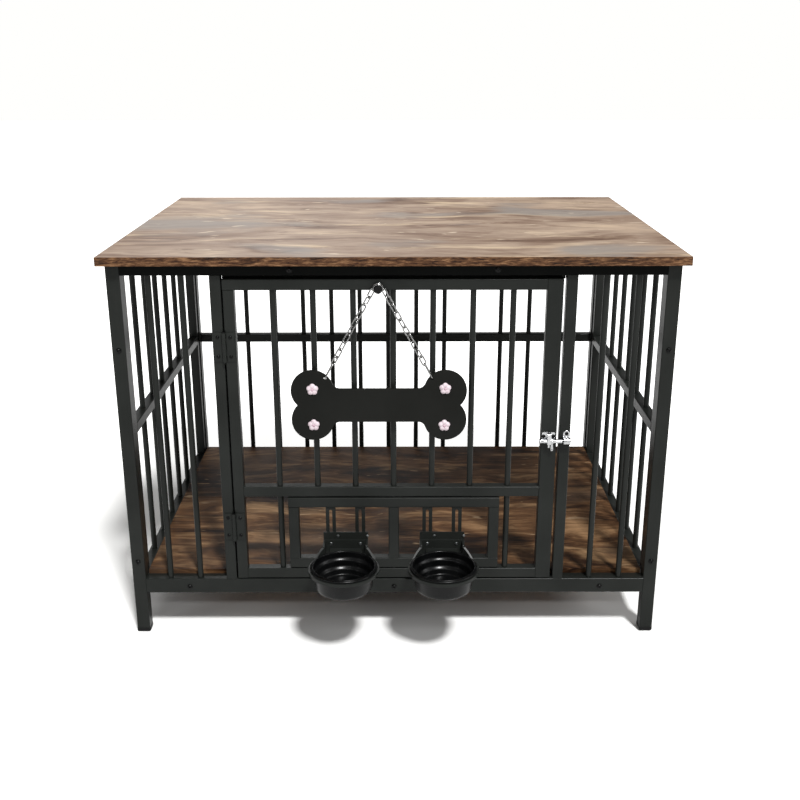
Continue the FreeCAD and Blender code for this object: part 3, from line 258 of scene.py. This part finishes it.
# Dark and pale tones first
FRAME_COAT = powder_coat("black_powder_coat", (0.0095, 0.0108, 0.0095), (0.0165, 0.0183, 0.0165),
                         roughness=0.30, gloss=0.17)
FITTING_BLACK = powder_coat("black_fitting_paint", (0.0012, 0.0013, 0.0012), (0.0034, 0.0036, 0.0034),
                            roughness=0.20, grain=2400.0, gloss=0.2)
# A darker copy of the frame's coat: painted shade for the rail that lies in the shade of the table top
PAINTED_SHADE_COAT = powder_coat("black_powder_coat_painted_shade", (0.0010, 0.0013, 0.0010), (0.0026, 0.0030, 0.0026),
                          roughness=0.34, gloss=0.06)
SIGN_BLACK = powder_coat("matt_sign_paint", (0.0060, 0.0063, 0.0052), (0.0100, 0.0104, 0.0090),
                         roughness=0.34, grain=1100.0, gloss=0.12)
SCREW_STEEL = bright_metal("worn_black_steel", (0.20, 0.21, 0.21), roughness=0.30, scratch=0.14)
CHAIN_STEEL = bright_metal("bright_steel_chain", (0.36, 0.36, 0.355), roughness=0.20, scratch=0.06)
CHROME = bright_metal("bright_chrome", (0.66, 0.67, 0.68), roughness=0.12, scratch=0.05)
ZINC = bright_metal("zinc_plating", (0.62, 0.63, 0.62), roughness=0.32, scratch=0.16)
CAP_PLASTIC = moulded_plastic("black_cap_plastic", (0.0040, 0.0040, 0.0040), (0.0080, 0.0080, 0.0080),
                              roughness=0.42, grain=2200.0, gloss=0.15)
BOWL_PLASTIC = moulded_plastic("glossy_bowl_plastic", (0.0012, 0.0013, 0.0014), (0.0030, 0.0032, 0.0034),
                               roughness=0.27, grain=3200.0, gloss=0.24)
PETAL_PINK = moulded_plastic("pale_pink_plastic", (0.60, 0.49, 0.53), (0.72, 0.62, 0.66),
                             roughness=0.36, grain=2600.0, mottle=160.0)
CENTRE_PINK = moulded_plastic("deep_pink_plastic", (0.50, 0.34, 0.40), (0.60, 0.44, 0.50),
                              roughness=0.34, grain=2600.0, mottle=160.0)

# The finish of each slot of the CAD nodes that are shown as they are
NODE_FINISHES = {
    "rustic_wood": TABLE_WOOD, "wood_edge": EDGE_WOOD, "black_steel": FRAME_COAT,
    "black_hardware": FITTING_BLACK, "zinc_hardware": ZINC, "chrome": CHROME, "black_plastic": CAP_PLASTIC,
    "bowl_plastic": BOWL_PLASTIC, "sign_board": SIGN_BLACK, "pink_plastic": PETAL_PINK}
for node in nodes.values():
    for held in node.material_slots:
        held.material = NODE_FINISHES[held.material.name.split(".")[0]]
# Painted shade: the rail right under the table top gets the darker copy of the frame's coat
nodes["front_top_rail"].material_slots[0].material = PAINTED_SHADE_COAT  # in the shade of the table top


# ---- Modelling -----------------------------------------------------------------------------------

def put_down():
    """Leaves edit mode with nothing selected."""
    if bpy.context.object and bpy.context.object.mode != "OBJECT":
        bpy.ops.object.mode_set(mode="OBJECT")
    bpy.ops.object.select_all(action="DESELECT")


def take_up(piece):
    """Makes one piece the only one selected."""
    put_down()
    piece.select_set(True)
    bpy.context.view_layer.objects.active = piece


def pick(kind, test):
    """In edit mode, selects only the vertices, edges or faces that pass a test."""
    bpy.ops.mesh.select_mode(type=kind)
    bpy.ops.mesh.select_all(action="DESELECT")
    form = bmesh.from_edit_mesh(bpy.context.object.data)
    for part in {"VERT": form.verts, "EDGE": form.edges, "FACE": form.faces}[kind]:
        if test(part):
            part.select_set(True)
    form.select_flush_mode()
    bmesh.update_edit_mesh(bpy.context.object.data)


def middle_of(part):
    """The middle of an edge or a face."""
    return sum((v.co for v in part.verts), Vector()) / len(part.verts)


def box_piece(low, high):
    """A box primitive between two corners, in edit mode, with its place in its mesh."""
    put_down()
    low, high = Vector(low), Vector(high)
    bpy.ops.mesh.primitive_cube_add(size=1, location=(low + high) / 2)
    bpy.context.object.scale = high - low
    bpy.ops.object.transform_apply(location=True, rotation=True, scale=True)
    bpy.ops.object.mode_set(mode="EDIT")
    return bpy.context.object


MERGED = 0.002 * MM
FLAT_ENOUGH = 0.5  # degrees between two faces that are one


def copy_of_node(name):
    """A merged copy of a CAD node, in edit mode, with its flat faces whole again."""
    put_down()
    piece = bpy.data.objects.new(name, nodes[name].data.copy())
    bpy.context.scene.collection.objects.link(piece)
    take_up(piece)
    bpy.ops.mesh.customdata_custom_splitnormals_clear()
    bpy.ops.object.mode_set(mode="EDIT")
    bpy.ops.mesh.select_all(action="SELECT")
    bpy.ops.mesh.remove_doubles(threshold=MERGED)
    bpy.ops.mesh.dissolve_limited(angle_limit=math.radians(FLAT_ENOUGH), delimit={"NORMAL"})
    return piece


def softened(piece, width, segments=3, angle=40.0):
    """The piece with the edges that are sharper than an angle rounded."""
    take_up(piece)
    bevel = piece.modifiers.new("rounding", "BEVEL")
    bevel.width, bevel.segments = width, segments
    bevel.limit_method, bevel.angle_limit = "ANGLE", math.radians(angle)
    bevel.harden_normals = False
    bpy.ops.object.modifier_apply(modifier=bevel.name)
    return piece


def finished(piece, name, body, finish, replaced=(), smooth=35.0):
    """Names the piece, gives it its finish, and joins it to its body."""
    take_up(piece)
    bpy.ops.object.transform_apply(location=True, rotation=True, scale=True)
    piece.name = piece.data.name = name
    piece.data.materials.clear()
    piece.data.materials.append(finish)
    bpy.ops.object.shade_smooth_by_angle(angle=math.radians(smooth))
    weigh = piece.modifiers.new("face_weight", "WEIGHTED_NORMAL")
    weigh.keep_sharp = True
    bpy.ops.object.modifier_apply(modifier=weigh.name)
    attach(piece, body)
    if replaced:
        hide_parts(*replaced)
    put_down()
    return piece


def joined(pieces):
    """Several loose pieces made one."""
    put_down()
    for piece in pieces:
        piece.select_set(True)
    bpy.context.view_layer.objects.active = pieces[0]
    if len(pieces) > 1:
        bpy.ops.object.join()
    return pieces[0]


def grown_ring(centre, stations, sides, close_end=True):
    """A round piece drawn up ring by ring from (radius, height) stations, in edit mode."""
    put_down()
    radius, height = stations[0]
    bpy.ops.mesh.primitive_circle_add(vertices=sides, radius=radius, fill_type="NOTHING",
                                      location=Vector(centre) + Vector((0, 0, height)))
    bpy.ops.object.transform_apply(location=True, rotation=False, scale=False)
    bpy.ops.object.mode_set(mode="EDIT")
    bpy.ops.mesh.select_mode(type="EDGE")
    bpy.ops.mesh.select_all(action="SELECT")
    for (radius, height), (next_radius, next_height) in zip(stations, stations[1:]):
        rise = next_height - height
        bpy.ops.mesh.extrude_region_move(TRANSFORM_OT_translate={"value": (0, 0, rise)})
        share = next_radius / radius
        bpy.ops.transform.resize(value=(share, share, 1), center_override=(
            centre[0], centre[1], centre[2] + next_height))
    if close_end:
        bpy.ops.mesh.edge_face_add()
    return bpy.context.object


# ---- Table top and floor -------------------------------------------------------------------------

BAND_THICK = 1.0 * MM
BAND_ARRIS = 0.45 * MM
BOARD_ARRIS = 0.25 * MM


def table_board():
    """The laminated board, with its arris broken."""
    low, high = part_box("tabletop_panel")
    board = box_piece(low, high)
    bpy.ops.object.mode_set(mode="OBJECT")
    softened(board, BOARD_ARRIS, 2)
    finished(board, "table_board", "crate", TABLE_WOOD, ["tabletop_panel"])


def table_banding():
    """The band round the board's four edges, a ring whose outer arrises are rounded over."""
    low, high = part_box("tabletop_edge_band")
    band = box_piece(low, high)
    pick("FACE", lambda f: abs(f.normal.z) > 0.9)
    bpy.ops.mesh.inset(thickness=BAND_THICK, use_even_offset=True)
    bpy.ops.mesh.bridge_edge_loops()
    bpy.ops.object.mode_set(mode="OBJECT")
    softened(band, BAND_ARRIS, 3)
    finished(band, "table_edge_banding", "crate", EDGE_WOOD, ["tabletop_edge_band"])


FLOOR_SEAM_SHARE = 0.52  # how far back the seam lies
SEAM_HALF_WIDTH = 0.9 * MM
SEAM_DEPTH = 1.2 * MM
FLOOR_ARRIS = 0.5 * MM


def floor_boards():
    """The floor in two boards, with a shallow groove where they meet."""
    low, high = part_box("floor_panel")
    board = box_piece(low, high)
    seam = low.y + (high.y - low.y) * FLOOR_SEAM_SHARE
    for place in (seam - SEAM_HALF_WIDTH, seam, seam + SEAM_HALF_WIDTH):
        bpy.ops.mesh.select_all(action="SELECT")
        bpy.ops.mesh.bisect(plane_co=(0, place, 0), plane_no=(0, 1, 0))
    pick("VERT", lambda v: abs(v.co.y - seam) < SAME_PLACE and v.co.z > high.z - SAME_PLACE)
    bpy.ops.transform.translate(value=(0, 0, -SEAM_DEPTH))
    bpy.ops.object.mode_set(mode="OBJECT")
    softened(board, FLOOR_ARRIS, 2, 50.0)
    # Painted shade: the floor boards get the darker copy of the table's laminate
    finished(board, "floor_boards", "crate", PAINTED_SHADE_FLOOR_WOOD, ["floor_panel"])


table_board()
table_banding()
floor_boards()


# ---- Softened copies of cut and bent metal -------------------------------------------------------

# The node, the piece, its body, finish and slot, and the rounding of its edges in millimetres
SOFTENED_NODES = [
    ("hanger_straps", "slotted_straps", "feeder_flap", FRAME_COAT, "black_steel", 0.5),
    ("left_bowl_bracket", "left_bracket_plate", "left_bracket", FRAME_COAT, "black_steel", 0.7),
    ("right_bowl_bracket", "right_bracket_plate", "right_bracket", FRAME_COAT, "black_steel", 0.7),
    ("hinge_post_leaves", "hinge_leaves_on_post", "crate", FRAME_COAT, "black_hardware", 0.3),
    ("hinge_door_leaves", "hinge_leaves_on_door", "door", FRAME_COAT, "black_hardware", 0.3),
    ("hinge_pins", "hinge_pin_heads", "crate", FITTING_BLACK, "black_hardware", 0.4),
    ("latch_base", "latch_plate_and_guide", "door", CHROME, "chrome", 0.3),
    ("latch_keeper", "latch_keeper_sleeve", "crate", CHROME, "chrome", 0.35),
    ("chain_peg", "sign_peg", "door", FITTING_BLACK, "black_steel", 0.5),
    ("bone_sign", "bone_name_board", "sign", SIGN_BLACK, "sign_board", 0.9),
]


def softened_copy(node_name, name, body, finish, slot, rounding):
    """A CAD node with its edges rounded."""
    copied = copy_of_node(node_name)
    bpy.ops.object.mode_set(mode="OBJECT")
    softened(copied, rounding * MM, 3, 50.0)
    finished(copied, name, body, finish, [node_name])


for softened_node in SOFTENED_NODES:
    softened_copy(*softened_node)


# ---- Chain ---------------------------------------------------------------------------------------

CHAIN_WIRE_PLUMP = 0.28 * MM


def link_chain():
    """The sign's chain with its wire a little plumper, links still apart."""
    chain = copy_of_node("sign_chain")
    bpy.ops.mesh.select_all(action="SELECT")
    bpy.ops.transform.shrink_fatten(value=CHAIN_WIRE_PLUMP)
    bpy.ops.object.mode_set(mode="OBJECT")
    finished(chain, "hanging_chain", "sign", CHAIN_STEEL, ["sign_chain"], 60.0)


link_chain()


# ---- Bowls ---------------------------------------------------------------------------------------

BOWL_SIDES = 112
# Radius and height, in millimetres: up the outside to the rim's bead, and down two soft steps inside. The
# underside of the rim stands just clear of the bracket's ring.
BOWL_OUTSIDE = [(45.0, 0.0), (49.2, 0.4), (51.6, 2.4), (52.9, 6.5), (58.4, 41.08)]
BOWL_RIM = [(61.3, 41.08), (62.2, 41.5), (62.5, 42.6), (62.2, 43.8), (61.2, 44.6), (59.6, 44.4),
            (59.0, 45.2), (58.2, 45.8), (57.2, 45.8), (56.5, 45.0)]
BOWL_INSIDE = [(56.1, 43.0), (55.6, 36.0), (55.2, 34.2), (54.3, 32.4), (52.8, 31.0), (51.6, 29.4),
               (51.0, 27.2), (50.4, 20.8), (50.0, 19.0), (49.0, 17.2), (47.4, 15.8), (46.0, 14.2),
               (45.2, 12.2), (43.6, 5.6), (42.4, 4.2), (40.4, 3.6), (38.6, 3.0), (36.5, 3.2),
               (35.0, 4.0), (12.0, 3.6)]


def feeding_bowl(side):
    """A deep bowl with a double rolled rim, two soft steps inside and a dished floor."""
    low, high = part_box(f"{side}_bowl")
    centre = ((low.x + high.x) / 2, (low.y + high.y) / 2, low.z)
    stations = [(radius * MM, height * MM) for radius, height in BOWL_OUTSIDE + BOWL_RIM + BOWL_INSIDE]
    bowl = grown_ring(centre, stations, BOWL_SIDES)
    pick("EDGE", lambda e: abs(middle_of(e).z - low.z) < SAME_PLACE)
    bpy.ops.mesh.edge_face_add()
    bpy.ops.mesh.select_all(action="SELECT")
    bpy.ops.mesh.normals_make_consistent(inside=False)
    bpy.ops.object.mode_set(mode="OBJECT")
    finished(bowl, f"{side}_feeding_bowl", f"{side}_bowl", BOWL_PLASTIC,
             [f"{side}_bowl"], 80.0)


for bowl_side in ("left", "right"):
    feeding_bowl(bowl_side)


# ---- Bolts, screws and rivets --------------------------------------------------------------------

def loose_solids(node_name):
    """The solids of a CAD node as separate pieces."""
    copy_of_node(node_name)
    bpy.ops.mesh.separate(type="LOOSE")
    bpy.ops.object.mode_set(mode="OBJECT")
    return list(bpy.context.selected_objects)


def reach_of(piece):
    """A piece's lowest and highest corners."""
    spots = [v.co for v in piece.data.vertices]
    return (Vector([min(s[axis] for s in spots) for axis in range(3)]),
            Vector([max(s[axis] for s in spots) for axis in range(3)]))


# A screw head from its seat to its socket, as shares of its width and of its height
HEAD_DOME = [(0.5, 0.0), (0.5, 0.22), (0.435, 0.30), (0.425, 0.48), (0.385, 0.74), (0.31, 0.93), (0.24, 1.0)]
SOCKET_DEPTH_SHARE = 0.62
HEAD_SIDES = 28
# Head width and height, shank and socket, in millimetres
BOLT_HEAD = (10.5, 3.0, 6.0, 4.4)
SCREW_HEAD = (7.0, 1.8, 3.3, 2.9)
BRACKET_HEAD = (7.0, 1.8, 4.0, 2.9)
RIVET_HEAD = (5.5, 1.4, 3.0, 1.2)
HEAD_MATCH = 0.2 * MM  # how near a solid's width is to the head that it has
PLATE_ARRIS = 0.3 * MM


def button_head(head, tall, shank, length, socket):
    """A screw along -Z with a domed, flanged head and a six-sided socket in it."""
    dome = [(head * across, tall * up) for across, up in HEAD_DOME]
    stem = [(shank / 2, -length), (shank / 2, 0.0)]
    screw = grown_ring((0, 0, 0), stem + dome, HEAD_SIDES, close_end=False)
    bpy.ops.mesh.primitive_circle_add(vertices=6, radius=socket / 2, location=(0, 0, tall))
    pick("EDGE", lambda e: len(e.link_faces) < 2 and middle_of(e).z > tall * 0.99)
    bpy.ops.mesh.bridge_edge_loops()
    pick("EDGE", lambda e: len(e.link_faces) < 2 and middle_of(e).z > tall * 0.99)
    bpy.ops.mesh.extrude_region_move(TRANSFORM_OT_translate={"value": (0, 0, -tall * SOCKET_DEPTH_SHARE)})
    bpy.ops.mesh.edge_face_add()
    pick("EDGE", lambda e: len(e.link_faces) < 2)
    bpy.ops.mesh.edge_face_add()
    bpy.ops.mesh.select_all(action="SELECT")
    bpy.ops.mesh.normals_make_consistent(inside=False)
    bpy.ops.object.mode_set(mode="OBJECT")
    return screw


def stood_in(pattern, spot, way):
    """A copy of a screw that points along -Z, turned so that its head faces one way along Y."""
    put_down()
    copy = bpy.data.objects.new("screw_copy", pattern.data.copy())
    bpy.context.scene.collection.objects.link(copy)
    copy.location = spot
    copy.rotation_euler = (math.radians(-90.0 * way), 0.0, 0.0)
    take_up(copy)
    bpy.ops.object.transform_apply(location=True, rotation=True, scale=True)
    return copy


def dropped(*pieces):
    """Takes scratch pieces out of the scene."""
    for piece in pieces:
        bpy.data.objects.remove(piece)


def screw_again(solid, head, way):
    """A CAD screw modelled again, with its head, shank and length where the solid has them."""
    width, tall, shank, socket = (value * MM for value in head)
    low, high = reach_of(solid)
    seat = high.y - tall if way > 0 else low.y + tall
    pattern = button_head(width, tall, shank, high.y - low.y - tall, socket)
    screw = stood_in(pattern, ((low.x + high.x) / 2, seat, (low.z + high.z) / 2), way)
    dropped(solid, pattern)
    return screw


def set_of_screws(node_name, name, body, head):
    """Every screw of a node modelled again, with its head to the front or to the back of the crate."""
    screws = []
    for solid in loose_solids(node_name):
        outward = 1 if reach_of(solid)[1].y > 0 else -1
        screws.append(screw_again(solid, head, outward))
    finished(joined(screws), name, body, FITTING_BLACK, [node_name], 30.0)


set_of_screws("frame_bolts", "socket_head_bolts", "crate", BOLT_HEAD)
set_of_screws("post_screws", "screws_in_posts", "crate", SCREW_HEAD)
set_of_screws("door_screws", "screws_in_door", "door", SCREW_HEAD)


def bracket_fittings(side):
    """The clamp plate and nuts with their edges broken, and the slot screws and rivets modelled again."""
    node_name = f"{side}_bracket_hardware"
    pieces = []
    for solid in loose_solids(node_name):
        low, high = reach_of(solid)
        heads = [h for h in (BRACKET_HEAD, RIVET_HEAD) if abs(high.x - low.x - h[0] * MM) < HEAD_MATCH]
        pieces.append(screw_again(solid, heads[0], -1) if heads else softened(solid, PLATE_ARRIS, 2, 50.0))
    finished(joined(pieces), f"{side}_bracket_screws", f"{side}_bracket", SCREW_STEEL,
             [node_name], 30.0)


for bracket_side in ("left", "right"):
    bracket_fittings(bracket_side)


# ---- Flower knobs --------------------------------------------------------------------------------

PETALS = 5
PETAL_REACH = 5.7 * MM
PETAL_ROUND = 5.5 * MM
PETAL_FLATNESS = 0.82
FLOWER_SKIN = 0.45 * MM
BUTTON_ROUND = 2.7 * MM
BUTTON_RISE = 3.0 * MM
BUTTON_FLATNESS = 0.75
STEM_ROUND = 1.5 * MM
STEM_ARRIS = 0.3 * MM


def flattened(share, spot):
    """Opens a new ball in edit mode and squashes it from front to back."""
    bpy.ops.object.mode_set(mode="EDIT")
    bpy.ops.transform.resize(value=(1.0, share, 1.0), center_override=spot)


def flower_petals(middle):
    """Five plump petals moulded in one, flat at the back."""
    petals = []
    for turn in range(PETALS):
        angle = math.pi * (2 * turn / PETALS + 0.5)
        spot = middle + Vector((math.cos(angle), 0, math.sin(angle))) * PETAL_REACH
        put_down()
        bpy.ops.mesh.primitive_uv_sphere_add(segments=24, ring_count=16, radius=PETAL_ROUND, location=spot)
        flattened(PETAL_FLATNESS, spot)
        bpy.ops.mesh.bisect(plane_co=(0, middle.y, 0), plane_no=(0, 1, 0), clear_outer=True, use_fill=True)
        bpy.ops.object.mode_set(mode="OBJECT")
        bpy.ops.object.transform_apply(location=True, rotation=True, scale=True)
        petals.append(bpy.context.object)
    flower = joined(petals)
    take_up(flower)
    skin = flower.modifiers.new("moulded_in_one", "REMESH")
    skin.mode, skin.voxel_size = "VOXEL", FLOWER_SKIN
    bpy.ops.object.modifier_apply(modifier=skin.name)
    ease = flower.modifiers.new("eased", "SMOOTH")
    ease.factor, ease.iterations = 0.5, 5
    bpy.ops.object.modifier_apply(modifier=ease.name)
    return flower


def flower_knob(solid, number, board_thick):
    """A flower with a button at its middle and a stem through the board."""
    low, high = reach_of(solid)
    middle = Vector(((low.x + high.x) / 2, high.y - board_thick, high.z - PETAL_REACH - PETAL_ROUND))
    flower = flower_petals(middle)
    put_down()
    spot = middle - Vector((0, BUTTON_RISE, 0))
    bpy.ops.mesh.primitive_uv_sphere_add(segments=24, ring_count=12, radius=BUTTON_ROUND, location=spot)
    button = bpy.context.object
    flattened(BUTTON_FLATNESS, spot)
    bpy.ops.object.mode_set(mode="OBJECT")
    finished(button, f"flower_button_{number}", "sign", CENTRE_PINK, (), 80.0)
    put_down()
    bpy.ops.mesh.primitive_cylinder_add(vertices=24, radius=STEM_ROUND, depth=board_thick,
                                        location=middle + Vector((0, board_thick / 2, 0)),
                                        rotation=(math.radians(90.0), 0, 0))
    stem = softened(bpy.context.object, STEM_ARRIS, 2)
    dropped(solid)
    return joined([flower, stem])


def flower_knobs():
    """The sign's four knobs. Their petals and stems are one piece."""
    board_low, board_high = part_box("bone_sign")
    knobs = [flower_knob(solid, number + 1, board_high.y - board_low.y)
             for number, solid in enumerate(loose_solids("flower_knobs"))]
    finished(joined(knobs), "flower_petals", "sign", PETAL_PINK, ["flower_knobs"], 80.0)


flower_knobs()


# ---- Camera, light and floor ---------------------------------------------------------------------

def studio_floor():
    """A pale floor that the camera sees fade to white behind the crate. It keeps the crate's shadow."""
    put_down()
    bpy.ops.mesh.primitive_plane_add(size=GROUND_SIZE, location=(0, 0, 0))
    ground = bpy.context.object
    ground.name = "studio_floor"
    finish = Finish("studio_floor_white", Roughness=0.9, Specular_IOR_Level=0.1)
    finish.shader.inputs["Base Color"].default_value = GROUND_WHITE
    back = finish.node("SeparateXYZ", {}, {"Vector": finish.place()}, output="Y")
    strength = back.span(*GROUND_FADE, *GROUND_GLOW)
    glow = finish.node("Emission", {}, {"Color": BACKDROP_WHITE, "Strength": strength})
    matt = finish.node("BsdfDiffuse", {}, {"Color": BACKDROP_WHITE})
    seen = finish.node("AddShader", {}, {0: matt, 1: glow})
    lit = Value(finish, finish.shader.outputs[0])
    rays = finish.node("LightPath", output="Is Camera Ray")
    shown = finish.node("MixShader", {}, {0: rays, 1: lit, 2: seen})
    finish.tree.links.new(shown.socket, finish.tree.nodes["Material Output"].inputs["Surface"])
    ground.data.materials.append(finish.material)


def studio_air():
    """A weak, even light from all round, and a white backdrop for the camera."""
    world = bpy.data.worlds.new("studio_world")
    bpy.context.scene.world = world
    world.use_nodes = True
    air = world.node_tree
    sky = air.nodes["Background"]
    sky.inputs["Color"].default_value = (1.0, 1.0, 1.0, 1.0)
    sky.inputs["Strength"].default_value = SKY_STRENGTH
    backdrop = air.nodes.new("ShaderNodeBackground")
    backdrop.inputs["Color"].default_value = BACKDROP_WHITE
    backdrop.inputs["Strength"].default_value = 1.0
    paths, mix = (air.nodes.new("ShaderNode" + kind) for kind in ("LightPath", "MixShader"))
    air.links.new(paths.outputs["Is Camera Ray"], mix.inputs[0])
    air.links.new(sky.outputs[0], mix.inputs[1])
    air.links.new(backdrop.outputs[0], mix.inputs[2])
    air.links.new(mix.outputs[0], air.nodes["World Output"].inputs["Surface"])


def put_in_scene(name, data):
    """A new light or camera in the scene."""
    made = bpy.data.objects.new(name, data)
    bpy.context.scene.collection.objects.link(made)
    return made


def studio_lights():
    """A sun from the upper right in front, and soft lights round the crate."""
    sun_data = bpy.data.lights.new("key_sun", "SUN")
    sun_data.energy, sun_data.angle = SUN_STRENGTH, SUN_SPREAD
    sun = put_in_scene("key_sun", sun_data)
    sun.rotation_euler = Vector(SUN_TRAVEL).to_track_quat("-Z", "Y").to_euler()
    for name, place, aim, size, power in SOFT_LIGHTS:
        data = bpy.data.lights.new(name, "AREA")
        data.shape, data.size, data.size_y, data.energy = "RECTANGLE", *size, power
        lamp = put_in_scene(name, data)
        lamp.location = place
        lamp.rotation_euler = (Vector(aim) - Vector(place)).to_track_quat("-Z", "Y").to_euler()


def photo_camera():
    """The camera where the photographer's was."""
    camera_data = bpy.data.cameras.new("photo_camera")
    camera_data.sensor_width, camera_data.lens = SENSOR, CAMERA_LENS
    camera = put_in_scene("photo_camera", camera_data)
    camera.location = CAMERA_PLACE
    camera.rotation_euler = [math.radians(a) for a in CAMERA_TILT]
    bpy.context.scene.camera = camera
    bpy.context.scene.view_settings.view_transform = "Standard"


studio_floor()
studio_air()
studio_lights()
photo_camera()

put_down()
